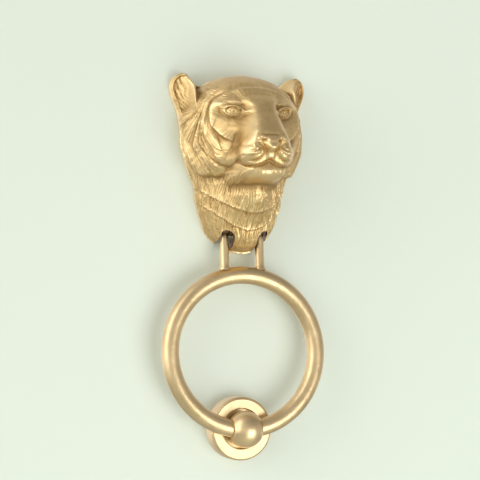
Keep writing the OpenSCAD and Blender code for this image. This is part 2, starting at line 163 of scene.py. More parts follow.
# Bridge, muzzle and jaw: height with depth on the centre line, and height with half-breadth
FRONT = [(-26.4, 10), (-23.9, 18), (-22.4, 27), (-21.2, 37), (-20, 45), (-18.6, 50), (-17, 53),
         (-15.2, 54.8), (-12.6, 55.9), (-8, 57.4), (-4, 58.6), (0, 59.4), (4, 60.0), (7, 58.8),
         (13, 55.0), (19, 51.4), (24, 48.0), (28, 44.2), (33, 37), (38, 27), (46.2, 2)]
BROAD = [(-28, 8), (-22, 11), (-18, 12.4), (-14, 12.9), (-9, 12.7), (-3, 12.4), (1, 12.2), (5, 11.2),
         (9, 9.8), (13, 8.7), (19, 8.1), (24, 8.5), (28, 10), (38, 14)]
EAR_RIM = [(11, 6), (17, 14), (22, 18), (28, 18.6), (34, 17.2), (39, 14.4), (43, 10.8), (46.4, 7)]
EAR_EDGE = [(36.9, 21), (39.0, 27.5), (41.2, 33), (42.3, 38), (41.7, 42), (39.5, 45), (36, 46.3),
            (32.4, 45.4), (29.4, 43.2)]
EAR_BOWL = [(15, 3.5), (21, 4.4), (27, 7.4), (33, 9.5), (47, 9.5)]
NOSE_BROAD = [(-6, 2.4), (-2, 3.6), (1, 5.8), (4.6, 8.0), (6.4, 7.6)]
# Lines on the face: half-breadth and height
MOUTH = [(-1, -7.9), (0, -7.6), (1, -7.9), (2.7, -9.2), (6, -10.6), (8.9, -11.3), (11.5, -11), (13.4, -9),
         (14.8, -5.6)]
BROW = [(26, 23.4), (22, 25.6), (17.5, 26.4), (13, 26.0), (8.5, 24.4)]
CREASE = [(12.6, 10), (14.9, 4), (15.6, -2), (15.4, -8), (14.8, -13)]
NOSTRIL = [(7.7, 4.5), (6.2, 3.5), (4.2, 2.9), (2.2, 2.8)]
PHILTRUM = [(4.6, 1.6), (3.9, -2), (2.9, -5), (2.1, -7.4)]
DUCT = [(12.2, 20.0), (9.8, 20.6), (7.2, 21.8)]
WHISKERS = [[(14.4, -3.8), (11.5, -3.2), (8.5, -2.5), (6.0, -0.6)],
            [(14.6, -6.2), (11.8, -6.0), (8.6, -5.4), (5.4, -3.2)],
            [(13.8, -8.7), (11, -8.7), (7.6, -7.8), (4.4, -5.8)]]
LUMPS = [(12.2, -1.2), (10.3, 0.3), (8.2, 0.5), (10.8, -4.6), (8.0, -4.2)]
EYE, EYE_SLANT = (15.3, 21.5), 13
# Lines of the coat: distance round the head from its centre line, and height
MASK = [(0, 35.9), (6.3, 35.8), (13, 34.6), (21.5, 31.5), (26.5, 28), (28, 24), (27.8, 19.7), (26.3, 13.3),
        (22.8, 8.8), (17.6, 4.6), (13.5, 2.6)]
FLANK = [(0, 46.5), (12, 44.6), (22, 41.5), (31, 36.5), (36.5, 30), (41, 24), (47, 20), (55, 17.5),
         (58.5, 13), (58.5, 3), (57.5, -8), (56, -18)]
FOLD = [(40, 24), (35.5, 20), (32.8, 14), (31.2, 6.2), (27.2, 0.2), (24.6, -4.6), (20.3, -8.9), (15.5, -9)]
TUFTS = [(52, 6), (49, 0.9), (46.8, -5), (44, -10.2), (39, -12.6), (34.5, -13.4), (25.1, -14.3),
         (16.4, -13.2), (13, -11.4)]
ROPE = [(43, 21.5), (50, 19), (55.5, 16), (57, 11), (55.5, 4), (55, -3), (53.5, -10), (51, -18), (50, -26)]
# Lower edges of the neck's tiers: height on the centre line, and rise towards the sides
TIERS = [(-36.4, 15), (-46.2, 16)]
OUTLINE = [(0, -59.6), (4, -59.1), (9, -57.4), (14.6, -53.8), (18.3, -50.2), (21.2, -45.5), (24.0, -37.4),
           (26.0, -27.2), (28.4, -16.4), (31.8, -8), (34.6, 3), (36.2, 16), (36.9, 21), (39.0, 27.5),
           (41.2, 33), (42.3, 38), (41.7, 42), (39.5, 45), (36, 46.3), (32.4, 45.4), (29.4, 43.2),
           (26.8, 40.6), (24.6, 39.8), (22.4, 40.3), (18.5, 42.5), (10, 45.2), (5, 46.0), (0, 46.2)]
OUTLINE_POINTS = 1600
RIM = 1.5


def half_breadth(z):
    """Half-breadth of the bare head: the outline itself up to the ears."""
    edge = smooth_path(OUTLINE, OUTLINE_POINTS)
    sides = edge[edge[:, 1] < 18]
    up = ease(15.4, 17.6, z)
    return np.interp(z, sides[:, 1], sides[:, 0]) * (1 - up) + curve(z, HALF) * up


def bare_head(ax, z):
    """Depth without face and fur, and the share of the half-breadth from the centre."""
    u = np.minimum(1, ax / np.maximum(half_breadth(z), 0.1))
    power = 2.05 + 0.55 * ease(-18, -2, z) * ease(24, 12, z)
    return curve(z, DEEP) * np.maximum(0, 1 - u**power) ** 0.5, u


def round_head(ax, z, bare):
    """Distance round the head from its centre line, as if unrolled."""
    return 38 * np.arctan2(ax, np.maximum(bare, 24 * ease(20, 34, z)) + 1e-6)


def ear(ax, z):
    """A cupped ear: its back up to the rim, then the bowl with a lip along the outer edge."""
    rim = 31.6 + 3.6 * ease(37, 46.5, z) + 1.5 * ease(26, 19, z)
    d = curve(z, EAR_RIM)
    u = ax - rim
    bowl = 3.0 + (d - 3.0) * (1 - np.clip(u / curve(z, EAR_BOWL), 0, 1)) ** 1.7
    edge, _ = to_path(ax, z, EAR_EDGE)
    bowl = bowl + 1.7 * bell((np.abs(edge) - 1.0) / 0.8)
    return ease(12, 22, z) * np.where(u < 0, d * bell(u / (4.4 + 2.6 * ease(34, 24, z))), bowl)


def face(ax, z, bare):
    """Depth of the head with its ears and face, without fur."""
    h = blend(bare, ear(ax, z), 1.4)
    edge, _ = to_path(ax, z, EAR_EDGE)
    bowl = ease(20, 23, z) * ease(32.6, 34.4, ax) * ease(-1.2, -2.6, -np.abs(edge))
    fan, away = 14 * np.arctan2(z - 18, ax - 30), np.hypot(z - 18, ax - 30)
    hair = 0.8 * strands(fan, away, 1.5, 51, 0.8, 5) + 0.4 * strands(fan, away, 0.7, 52, 0.8, 3)
    h = h + bowl * hair
    # Cheeks, throat and crease, then the block of bridge, muzzle and jaw with its whisker pads
    throat = 12 * bell(ax / 13) * ease(-46, -24, z) * ease(-15, -20, z)
    h = h + 4.5 * bell((ax - 15) / 6.5, (z + 1) / 9) + throat
    d, t = to_path(ax, z, CREASE)
    h = h - 1.0 * bell(d / 1.8) * ease(0, 0.2, t) * ease(1, 0.7, t)
    jaw = z - 5 * np.minimum(1.25, ax / 13) ** 4 * ease(-5, -14, z)
    snout = curve(jaw, FRONT) - 3.4 * (ax / curve(z, BROAD)) ** (9 - 5 * ease(2, 12, z))
    h = blend(h, snout, 1.6 + 8.5 * ease(1, 9, z) * ease(24, 14, z))
    p, q = turned(ax, z, 8.4, -3.4, -15)
    h = blend(h, dome((p / 7.5) ** 2 + (q / 6.9) ** 2, 45.6, 16.0), 1.2)
    # Mouth: the lower lip lies behind the upper one
    d, t = to_path(ax, z, MOUTH)
    inside = ease(16.2, 14.2, ax)
    steep = ease(8.5, 13, ax)
    lip = ease(0.4, -0.6, d) * np.exp(np.minimum(d, 0) / 4.5) * inside * ease(-22, -18, z)
    h = h - (2.0 + 1.6 * steep) * lip
    h = h - (1.3 + 2.6 * steep) * bell(d / 0.65) * inside
    chin = dome((ax / 12.8) ** 2 + ((z + 13.8) / 6.2) ** 2, 43.5, 12.6)
    h = blend(h, chin - 26 * ease(13, 24, ax), 2.0)
    # Nose: leather, wings, nostrils and the band down to the lip
    w = np.interp(z, *np.transpose(NOSE_BROAD))
    h = blend(h, dome((ax / w) ** 3 + np.abs((z - 1.4) / 4.9) ** 3, 56.0, 7.2), 0.9)
    p, q = turned(ax, z, 5.9, 4.3, -24)
    h = blend(h, dome((p / 2.9) ** 2 + (q / 1.5) ** 2, 58.6, 3.4), 0.5)
    d, t = to_path(ax, z, NOSTRIL)
    h = h - 1.4 * bell(d / 0.6) * ease(0, 0.25, t) * ease(1, 0.75, t)
    h = h - 0.6 * bell((ax - 4.4) / 1.1, (z - 2.2) / 0.9)
    d, t = to_path(ax, z, PHILTRUM)
    h = h - 0.35 * bell(d / 0.75) * ease(1, 0.8, t)
    h = h + 1.5 * bell((ax / 2.7) ** 2) * ease(1.5, -2, z) * ease(-8.6, -6.4, z)
    for row in WHISKERS:
        d, t = to_path(ax, z, row)
        h = h - 0.9 * bell(d / 0.7) * ease(0, 0.2, t) * ease(1, 0.85, t)
    for cx, cz in LUMPS:
        h = h + 0.65 * bell((ax - cx) / 0.9, (z - cz) / 0.8)
    # Eyes: socket, ball, lids, iris and the duct towards the bridge
    p, q = turned(ax, z, *EYE, EYE_SLANT)
    h = h - 1.9 * bell(p / 7.0, (q + 1.8) / 3.6) - 1.3 * bell(p / 6.0, (q - 4.2) / 1.5)
    r = np.sqrt((p / 4.3) ** 2 + (q / np.where(q > 0, 2.0, 2.8)) ** 2)
    ball = 40.0 - 0.5 * p - (p * p * 0.55 + q * q) / 9.0
    lids = 40.0 - 0.5 * p - (p * p * 0.55 + q * q) / 14.0 + np.where(q > 0, 1.4, 0.4)
    lids = np.where(r < 2, lids - 1.5 * ((r - 1.18) / np.where(q > 0, 0.3, 0.22)) ** 2, 0)
    h = np.where(r < 1.0, ball, blend(h, lids, 0.9))
    iris = np.hypot(p + 0.1, q + 0.25)
    h = h - (0.3 * bell((iris - 1.8) / 0.35) + 0.8 * bell(iris / 0.65)) * (r < 0.97)
    d, t = to_path(ax, z, DUCT)
    h = h + (1.3 * bell(d / 0.9) - 0.9 * bell((d - 1.8) / 0.9)) * ease(0, 0.3, t) * ease(1, 0.55, t)
    d, t = to_path(ax, z, BROW)
    h = h + 2.3 * bell(d / 2.0) * ease(0, 0.3, t) * ease(1, 0.75, t)
    return h - 0.8 * bell((z - 31.5) / 2.4, (ax - 11) / 8)


def coat(ax, x, z, bare, u):
    """Fur in layers and locks: how far it stands off the bare head."""
    t = round_head(ax, z, bare)
    mask, mask_t = to_path(t, z, MASK)
    flank, _ = to_path(t, z, FLANK)
    fold, fold_t = to_path(t, z, FOLD)
    edge, edge_t = to_path(t, z, TUFTS)
    rope, rope_t = to_path(t, z, ROPE)
    free = ease(0.4, -1.0, ear(ax, z) - bare) * ease(20, 24, z) + ease(24, 20, z)
    mid = 0.5 + 0 * t
    ragged = edge + 3.2 * (noise(edge_t * 13, mid, 5) - 0.5)
    above = ease(2.2, -1.8, ragged) * ease(12, 26, t)
    # Layers: ruff over neck, cheek over ruff, mask over cheek, each proud of the next
    out = 2.8 * above * np.exp(-np.maximum(-edge, 0) / 12)
    out = out * ease(54, 45, t) * ease(26, 14, z) * ease(1, 0.8, edge_t)
    wavy = fold + 1.8 * (noise(fold_t * 8, mid, 6) - 0.5)
    cheek = ease(1.7, -1.7, wavy) * np.exp(np.minimum(fold, 0) / 6)
    out = out + 1.7 * cheek * ease(0.1, 0.4, fold_t) * ease(1, 0.88, fold_t)
    low = ease(0.36, 0.55, mask_t)
    fade = ease(1.0, 0.85, mask_t)
    out = out + (0.5 + 1.6 * low) * ease(0.9, -0.9, mask) * np.exp(np.minimum(mask, 0) / 5) * fade
    out = out - (0.4 + 0.9 * low) * bell((mask - 1.4) / 1.4) * fade
    out = out + 1.6 * bell((z - 4) / 11) * ease(30, 44, t) * ease(0.5, 6, bare)
    swell = 1 + 0.2 * noise(rope_t * 9, mid, 9)
    roll = bell((rope + 0.5 * (noise(rope_t * 8, mid, 8) - 0.5)) / 2.3)
    out = out + 0.9 * swell * roll * ease(0, 0.25, rope_t) * ease(1, 0.8, rope_t) * ease(0.5, 4, bare)
    # Locks that sweep from the forehead past the ear and down the ruff
    beyond = np.maximum(mask - 0.8, 0)
    band = beyond / (beyond + np.maximum(-flank, 0.3))
    run = mask_t * 75
    across = band * 32 + 3.6 * (noise(run / 11, band * 4, 7) - 0.5)
    gain = (0.3 + 0.7 * ease(0.3, 0.5, mask_t)) * ease(0.8, 2.6, mask) * free
    gain = gain * (0.45 + 0.55 * ease(-2.5, 0, fold)) * ease(1, 9, bare)
    gain = gain * np.maximum(above, ease(46, 50, t) * ease(-14, -4, z))
    gain = gain * ease(15, 18, ax + 20 * ease(5, 12, z))
    tufts = noise(run / 8 + 20, across / 3.4 + 20, 13) - 0.5
    tufts = tufts + 0.5 * (noise(run / 4 + 70, across / 1.7 + 70, 14) - 0.5)
    locks = 0.8 * strands(across, run, 5.0, 11, 0.6, 18) + 0.6 * strands(across, run, 1.6, 17, 0.8, 8)
    out = out + gain * (1.4 * tufts + locks + 0.42 * strands(across, run, 0.95, 19, 0.8, 6))
    sides = ease(47, 51, t) * ease(20, 12, z) * ease(-30, -18, z) * ease(0.3, 2, bare)
    lean = t + 0.15 * z
    locks = 0.45 * strands(lean, z, 2.4, 31, 0.7, 12) + 0.25 * strands(lean, z, 0.9, 33, 0.7, 7)
    out = out + sides * locks
    # Neck: two tiers with ragged lower edges, and hair that fans out from below the chin
    focus = 26 + 60 * ease(30, 50, t)
    comb = 1.26 * t * (focus + 20) / (focus - np.minimum(z, 0))
    jag = 0.5 * (noise(comb / 2.2 + 60, mid, 3) - 0.5) + 0.3 * (noise(comb / 0.7 + 90, mid, 4) - 0.5)
    below = ease(-0.4, 0.8, ragged) * ease(-10, -15, z)
    tier = 0 * t
    proud = 0.3 + 0.9 * ease(52, 40, t)
    for middle, sag in TIERS:
        e = z - middle - sag * u**2 + jag
        out = out + proud * np.exp(-np.maximum(e, 0) / 6) * ease(-0.35, 0.25, e) * below
        tier = tier + (e < 0)
    comb = np.sign(x) * comb + 7.7 * tier + 2.4 * (noise(np.sign(x) * t / 5 + 30, z / 7 + 30, 61) - 0.5)
    clumps = noise(np.sign(x) * t / 2.2 + 50, z / 4.5 + 50, 63) - 0.5
    hair = 0.5 * strands(comb, z + 17 * tier, 1.9, 23, 0.8, 11) + 0.36 * strands(comb, z, 0.9, 29, 0.8, 8)
    return out + below * (hair + 0.7 * clumps) * ease(-59, -55, z)


def short_hair(ax, x, z, bare):
    """Short strokes that spread out over the face from the bridge of the nose."""
    mask, _ = to_path(round_head(ax, z, bare), z, MASK)
    dx, dz = ax - 1.5, z - 15
    spread = 15 * np.arctan2(dx, dz) + 2 * (noise(x / 4 + 20, z / 4 + 20, 71) - 0.5)
    away = np.hypot(dx, dz)
    p, q = turned(ax, z, *EYE, EYE_SLANT)
    clear = 1 - bell(p / 6.5, q / 4.5)
    hair = 0.2 * strands(spread, away, 1.3, 73, 0.8, 4) + 0.18 * strands(spread, away, 0.75, 75, 0.8, 3)
    inside = np.maximum(ease(0.5, -1.5, mask), ease(16, 14, ax) * ease(8, 2, z))
    return hair * clear * inside * ease(3, 9, away) * ease(-22, -18, z)


def disk(n):
    """A square grid spread over the outline of the casting."""
    g = np.linspace(-1, 1, n)
    u, v = np.meshgrid(g, g)
    dx, dz = u * np.sqrt(1 - v * v / 2), v * np.sqrt(1 - u * u / 2)
    r, turn = np.clip(np.hypot(dx, dz), 0, 1), np.arctan2(np.abs(dx), -dz) / np.pi
    s = 0.2 * r + 0.8 * np.sin(r * np.pi / 2)
    edge = smooth_path(OUTLINE, OUTLINE_POINTS)
    at = np.linspace(0, 1, len(edge))
    return np.sign(dx) * np.interp(turn, at, edge[:, 0]) * s, np.interp(turn, at, edge[:, 1]) * s


def softened(points, share, rounds):
    """The relief averaged with its neighbours, as much as share says."""
    for _ in range(rounds):
        near = points[:-2, 1:-1] + points[2:, 1:-1] + points[1:-1, :-2] + points[1:-1, 2:]
        moved = 0.5 * points[1:-1, 1:-1] + 0.125 * near
        points[1:-1, 1:-1] += share[1:-1, 1:-1, None] * (moved - points[1:-1, 1:-1])
    return points


def surface(n):
    """Points of the whole relief: depths first, then the fur along the bare head's normals."""
    x, z = disk(n)
    ax = np.abs(x)
    bare, u = bare_head(ax, z)
    skull = np.stack([x, -bare, z], -1)
    normal = np.cross(np.gradient(skull, axis=1), np.gradient(skull, axis=0))
    normal = normal / np.maximum(np.linalg.norm(normal, axis=-1, keepdims=True), 1e-9)
    normal = np.where(normal[..., 1:2] > 0, -normal, normal)
    h = np.maximum(face(ax, z, bare), RIM)
    aside = np.sign(x) * 1.3 * bell((h - 52.5) / 4.5) * ease(9.5, 12.5, ax) * ease(16.5, 14.5, ax)
    aside = aside * ease(-13, -8, z) * ease(6, 1, z)
    t = np.sign(x) * round_head(ax, z, bare)
    uneven = 0.45 * (noise(t / 5 + 40, z / 5 + 40, 41) - 0.5)
    uneven = uneven + 0.18 * (noise(t / 1.8 + 80, z / 1.8 + 80, 43) - 0.5)
    furry = ease(46, 42, h) * ease(9, 14, ax + 40 * ease(-14, -18, z) + 40 * ease(30, 36, z))
    out = coat(ax, x, z, bare, u) * furry + uneven + short_hair(ax, x, z, bare) * ease(62, 56, h)
    points = np.stack([x + aside, -h, z], -1) + normal * out[..., None]
    points = softened(points, ease(48, 56, h) + ease(4, 1, h), 2)
    points[..., 1] = np.minimum(points[..., 1], -RIM)
    return points


# Helpers of the meshes


def mesh_object(name, points, faces, smooth=True):
    mesh = bpy.data.meshes.new(name)
    mesh.from_pydata([tuple(p) for p in points], [], faces)
    mesh.polygons.foreach_set("use_smooth", [smooth] * len(mesh.polygons))
    mesh.update()
    obj = bpy.data.objects.new(name, mesh)
    scene.collection.objects.link(obj)
    return obj


def cast_head(n=400):
    """The relief closed with a straight rim and a flat back."""
    front = surface(n)
    m = n - 1
    ids = np.arange(n * n).reshape(n, n)
    quads = np.stack([ids[:-1, :-1], ids[:-1, 1:], ids[1:, 1:], ids[1:, :-1]], -1).reshape(-1, 4)
    loop = np.concatenate([ids[0, :m], ids[:m, m], ids[m, m:0:-1], ids[m:0:-1, 0]])
    flat = front.reshape(-1, 3)
    back = flat[loop].copy()
    back[:, 1] = 0
    ring = n * n + np.arange(len(loop))
    nxt = np.roll(np.arange(len(loop)), -1)
    sides = np.stack([loop, ring, ring[nxt], loop[nxt]], -1)
    points = np.concatenate([flat, back])
    faces = quads.tolist() + sides.tolist() + [ring[::-1].tolist()]
    return mesh_object("head", points, faces)


def loft(name, sections):
    """A closed solid through sections of equal length."""
    n = len(sections[0])
    points = [p for section in sections for p in section]
    faces = [list(range(n))[::-1], list(range(len(points) - n, len(points)))]
    for j in range(len(sections) - 1):
        for k in range(n):
            a, b = j * n + k, j * n + (k + 1) % n
            faces.append([a, b, b + n, a + n])
    return mesh_object(name, points, faces)


def bar(a, b, r, n=64):
    """A round bar from a to b."""
    a, b = Vector(a), Vector(b)
    turn = (b - a).to_track_quat("Z", "Y")
    angles = [2 * math.pi * k / n for k in range(n)]
    circle = [Vector((r * math.cos(angle), r * math.sin(angle), 0)) for angle in angles]
    return loft("bar", [[tuple(end + turn @ p) for p in circle] for end in (a, b)])


def block(low, high):
    """A box between two corners."""
    (x0, y0, z0), (x1, y1, z1) = low, high
    return loft("block", [[(x0, y0, z), (x1, y0, z), (x1, y1, z), (x0, y1, z)] for z in (z0, z1)])


def outside_out(obj):
    """Turns the faces of a closed mesh outwards."""
    work = bmesh.new()
    work.from_mesh(obj.data)
    bmesh.ops.recalc_face_normals(work, faces=work.faces)
    work.to_mesh(obj.data)
    work.free()


def cut(obj, tool, operation="DIFFERENCE"):
    """Takes a tool away from a piece, or joins it on, and deletes it."""
    outside_out(tool)
    step = obj.modifiers.new("cut", "BOOLEAN")
    step.operation = operation
    step.solver = "MANIFOLD"
    step.object = tool
    made = bpy.data.meshes.new_from_object(obj.evaluated_get(bpy.context.evaluated_depsgraph_get()))
    obj.modifiers.clear()
    obj.data = made
    bpy.data.objects.remove(tool)


# Head: the relief, hollowed from behind round its four bosses, with two slots under the neck
WALL = 3.2
PIVOT = (-9.5, -44.5)
ROD_X, SLOT_W, SLOT_TOP, SLOT_FOOT = 11.0, 7.5, -47.4, -118.0
STUD_Z, YOKE_SCREW_X, YOKE_SCREW_Z = 24.0, 11.0, -34.3
BOSS_R, BOSS_BACK, YOKE_BOSS_R, YOKE_BOSS_BACK = 6.0, -0.5, 4.5, -3.5
STUD_HOLE_R, YOKE_HOLE_R, HOLE_END = 2.695, 1.79, -12.5
ROD_ROOM, EYE_ROOM, CLIP_ROOM, CLIP_FROM, CLIP_TO = 3.35, 5.65, 4.2, 10.4, 15.05
SWING, SWING_REACH = math.radians(56.3), 16.0
# Reach of the cutters: behind the door's face, out through the front, and both ways for the slots
BEHIND, THROUGH, ACROSS = 1.0, -80.0, 40.0


def core_section(z):
    """Section of the hollow at a height, a wall's thickness inside the bare head."""
    w = float(curve(z, HALF)) - WALL
    d = float(curve(z, DEEP)) - WALL - float(np.interp(z, (-6, 14), (0.8, 2)))
    arc = [math.sin(a) for a in np.linspace(-math.pi / 2, math.pi / 2, 33)]
    front = [(w * u, -d * max(0, 1 - abs(u) ** 2.6) ** 0.5, z) for u in arc]
    return [(-w, BEHIND, z)] + front + [(w, BEHIND, z)]


head = cast_head()
outside_out(head)
skin = head.data.attributes.new("skin", "FLOAT", "POINT")
skin.data.foreach_set("value", np.ones(len(head.data.vertices), np.float32))
hollow = loft("hollow", [core_section(z) for z in np.linspace(-54, 39, 61)])
outside_out(hollow)
for z in (-STUD_Z, STUD_Z):
    cut(hollow, bar((0, BOSS_BACK, z), (0, THROUGH, z), BOSS_R))
for side in (-1, 1):
    x = side * YOKE_SCREW_X
    cut(hollow, bar((x, YOKE_BOSS_BACK, YOKE_SCREW_Z), (x, THROUGH, YOKE_SCREW_Z), YOKE_BOSS_R))
cut(head, hollow)
for z in (-STUD_Z, STUD_Z):
    cut(head, bar((0, BEHIND, z), (0, HOLE_END, z), STUD_HOLE_R, 32))
for side in (-1, 1):
    x = side * YOKE_SCREW_X
    cut(head, bar((x, BEHIND, YOKE_SCREW_Z), (x, HOLE_END, YOKE_SCREW_Z), YOKE_HOLE_R, 32))
    x = side * ROD_X
    slot_z = SLOT_TOP - SLOT_W / 2
    cut(head, block((x - SLOT_W / 2, -ACROSS, SLOT_FOOT), (x + SLOT_W / 2, ACROSS, slot_z)))
    cut(head, bar((x, ACROSS, slot_z), (x, -ACROSS, slot_z), SLOT_W / 2))
    cut(head, bar((x - ROD_ROOM, *PIVOT), (x + ROD_ROOM, *PIVOT), EYE_ROOM))
    cut(head, bar((side * CLIP_FROM, *PIVOT), (side * CLIP_TO, *PIVOT), CLIP_ROOM))
    swung = (x, PIVOT[0] - SWING_REACH * math.sin(SWING), PIVOT[1] - SWING_REACH * math.cos(SWING))
    cut(head, bar((x, *PIVOT), swung, ROD_ROOM))


def relax(values, edges, rounds):
    """Values at the corners of a mesh, averaged with their neighbours."""
    a, b = edges[:, 0], edges[:, 1]
    count = np.bincount(np.r_[a, b], minlength=len(values))[:, None]
    for _ in range(rounds):
        total = np.stack([np.bincount(np.r_[a, b], np.r_[v[b], v[a]], len(v)) for v in values.T], -1)
        values = 0.5 * values + 0.5 * total / np.maximum(count, 1)
    return values


def mark_recesses(obj):
    """Stores how deep each corner lies below the smoothed surface, for the patina, and what is inside, for
    painted shade.
    """
    mesh = obj.data
    co, normal = np.empty(len(mesh.vertices) * 3), np.empty(len(mesh.vertices) * 3)
    mesh.vertices.foreach_get("co", co)
    mesh.vertex_normals.foreach_get("vector", normal)
    edges = np.empty(len(mesh.edges) * 2, np.int64)
    mesh.edges.foreach_get("vertices", edges)
    co, normal, edges = co.reshape(-1, 3) / MM, normal.reshape(-1, 3), edges.reshape(-1, 2)
    depth = ((relax(co, edges, 40) - co) * normal).sum(1, keepdims=True)
    depth = depth + 0.25 * ((relax(co, edges, 160) - co) * normal).sum(1, keepdims=True)
    outer = np.empty(len(mesh.vertices), np.float32)
    mesh.attributes["skin"].data.foreach_get("value", outer)
    for name, values in (("recess", relax(depth, edges, 2)[:, 0]), ("inside", 1 - outer)):
        attribute = mesh.attributes.new(name, "FLOAT", "POINT")
        attribute.data.foreach_set("value", values.astype(np.float32))


def finish_piece(obj, name, body, node, sharp=40, place=Matrix.Identity(4)):
    """Puts a piece modelled in millimetres in its place, on its body and over its node."""
    obj.data.transform(Matrix.Scale(MM, 4) @ place)
    obj.data.polygons.foreach_set("use_smooth", [True] * len(obj.data.polygons))
    obj.data.set_sharp_from_angle(angle=math.radians(sharp))
    obj.data.update()
    obj.name = name
    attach(obj, body)
    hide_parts(node)


finish_piece(head, "head_relief", "fixed", "head_casting", 62)
mark_recesses(head)

# Ring, rods and ball, modelled as they hang from the pivot and then tilted to rest
RING_R, BAR_R, ROD_R, BALL_R = 45.75, 5.25, 2.75, 11.0
ROD_DROP, REST_TILT = 28.0, math.radians(3.286)
RING_DROP = ROD_DROP + RING_R
ROD_FOOT = RING_DROP - math.sqrt(RING_R**2 - ROD_X**2)
EYE_R, EYE_T, PIN_HOLE_R = 4.75, 4.0, 2.06
COLLAR_R, COLLAR_T = 3.65, 2.4
JOINT_TURN, JOINT_SPIN = math.pi / 2 - 0.1, 4.4
# Play between pieces that fit into each other
SNUG = 0.02
AT_REST = Matrix.Translation((0, *PIVOT)) @ Matrix.Rotation(-REST_TILT, 4, "X")


def ring_bar(extra=0.0, worn=0.0, n=256, m=64):
    """The bent bar, slightly uneven where it is worn, with the mark of its joint at the top."""
    full = 2 * np.pi
    turns, spins = np.linspace(0, full, n, False), np.linspace(0, full, m, False)
    turn, spin = np.meshgrid(turns, spins, indexing="ij")
    dents = noise(60 + 30 * np.cos(turn) + 4 * np.cos(spin), 60 + 30 * np.sin(turn) + 4 * np.sin(spin), 81)
    from_joint = (turn - JOINT_TURN + np.pi) % full - np.pi
    joint = bell(from_joint * RING_R / 2.0, (spin - JOINT_SPIN) * BAR_R / 0.4)
    r = BAR_R + extra - worn * (0.08 * dents + 0.22 * joint)
    out = RING_R + r * np.cos(spin)
    points = np.stack([out * np.cos(turn), r * np.sin(spin), out * np.sin(turn) - RING_DROP], -1)
    ids = np.arange(n * m).reshape(n, m)
    ahead = np.roll(ids, -1, 0)
    quads = np.stack([ids, ahead, np.roll(ahead, -1, 1), np.roll(ids, -1, 1)], -1)
    obj = mesh_object("ring", points.reshape(-1, 3), quads.reshape(-1, 4).tolist())
    outside_out(obj)
    return obj


def hanger_rod(side, n=64):
    """A round rod, drawn flat towards its eye, with a collar where it enters the ring."""
    x = side * ROD_X
    low = -ROD_FOOT + BAR_R - 1
    # Height, half-breadth and radius of each section
    rows = [(-ROD_FOOT, ROD_R, ROD_R), (low, ROD_R, ROD_R), (low + 0.05, COLLAR_R, COLLAR_R),
            (low + 1, COLLAR_R - 0.2, COLLAR_R), (low + 2, ROD_R + 0.25, ROD_R + 0.25),
            (low + COLLAR_T + 1.4, ROD_R, ROD_R), (-11, ROD_R, ROD_R), (-9.4, 2.55, ROD_R),
            (-7.6, 2.2, ROD_R), (-6, EYE_T / 2, ROD_R), (0, EYE_T / 2, ROD_R)]
    turns = [2 * math.pi * k / n for k in range(n)]
    sections = []
    for z, half, r in rows:
        sections.append([(x + max(-half, min(half, r * math.cos(a))), r * math.sin(a), z) for a in turns])
    rod = loft("rod", sections)
    outside_out(rod)
    cut(rod, bar((x - EYE_T / 2, 0, 0), (x + EYE_T / 2, 0, 0), EYE_R, 96), "UNION")
    cut(rod, bar((x - EYE_T, 0, 0), (x + EYE_T, 0, 0), PIN_HOLE_R))
    around = ring_bar(SNUG)
    cut(around, bar((x, 0, -ROD_FOOT), (x, 0, 0), ROD_R))
    cut(rod, around)
    return rod


def lathe(name, rows, n=128):
    """A turned piece about the z axis, from rows of height and radius."""
    turns = [2 * math.pi * k / n for k in range(n)]
    obj = loft(name, [[(r * math.cos(a), r * math.sin(a), z) for a in turns] for z, r in rows])
    outside_out(obj)
    return obj


ring = ring_bar(worn=1.0)
for side in (-1, 1):
    x = side * ROD_X
    cut(ring, bar((x, 0, -ROD_FOOT), (x, 0, -ROD_FOOT + 2 * BAR_R), ROD_R + SNUG))
finish_piece(ring, "ring", "knocker", "knocker_ring", place=AT_REST)
for side, name in ((-1, "left"), (1, "right")):
    rod = hanger_rod(side)
    finish_piece(rod, "rod_" + name, "knocker", "hanger_rod_" + name, place=AT_REST)
FACE_R = BAR_R + 1.3
flat = math.sqrt(BALL_R**2 - FACE_R**2)
dip = math.asin(flat / BALL_R)
ball = lathe("ball", [(BALL_R * math.sin(a), BALL_R * math.cos(a)) for a in np.linspace(-dip, dip, 65)])
ball_place = Matrix.Translation((0, 0, -ROD_DROP - 2 * RING_R))
ball.data.transform(ball_place @ Matrix.Rotation(math.pi / 2, 4, "Y"))
outside_out(ball)
cut(ball, ring_bar(SNUG))
finish_piece(ball, "ball", "knocker", "striker_ball", place=AT_REST)

# Strike plate: turned, with a rounded edge, fine tool marks on its face and a cup for the ball
PLATE_R, PLATE_T, PLATE_ROUND, CUP_R, CUP_T = 19.0, 10.5, 1.8, 12.0, 5.45
SCREW_R, SCREW_HEAD_R, CHAMFER = 2.5, 4.75, 0.3
PLATE_Z = PIVOT[1] - (ROD_DROP + 2 * RING_R) * math.cos(REST_TILT)
FLOOR_T = PLATE_T - CUP_T
edge = [(PLATE_T - PLATE_ROUND * (1 - math.sin(a)), PLATE_R - PLATE_ROUND * (1 - math.cos(a)))
        for a in np.linspace(0, math.pi / 2, 13)]
MARK_DEPTH = 0.03
marks = np.linspace(PLATE_R - PLATE_ROUND - 0.2, CUP_R + CHAMFER, 20)
face_marks = [(PLATE_T - MARK_DEPTH * (k % 2), r) for k, r in enumerate(marks)]
foot = [(0, PLATE_R - CHAMFER), (CHAMFER, PLATE_R)]
plate = lathe("plate", foot + edge + face_marks + [(PLATE_T - CHAMFER, CUP_R), (FLOOR_T, CUP_R)])
cut(plate, bar((0, 0, -1), (0, 0, PLATE_T), SCREW_R + SNUG))
sink = SCREW_HEAD_R - SCREW_R
sink_r = SCREW_HEAD_R + SNUG
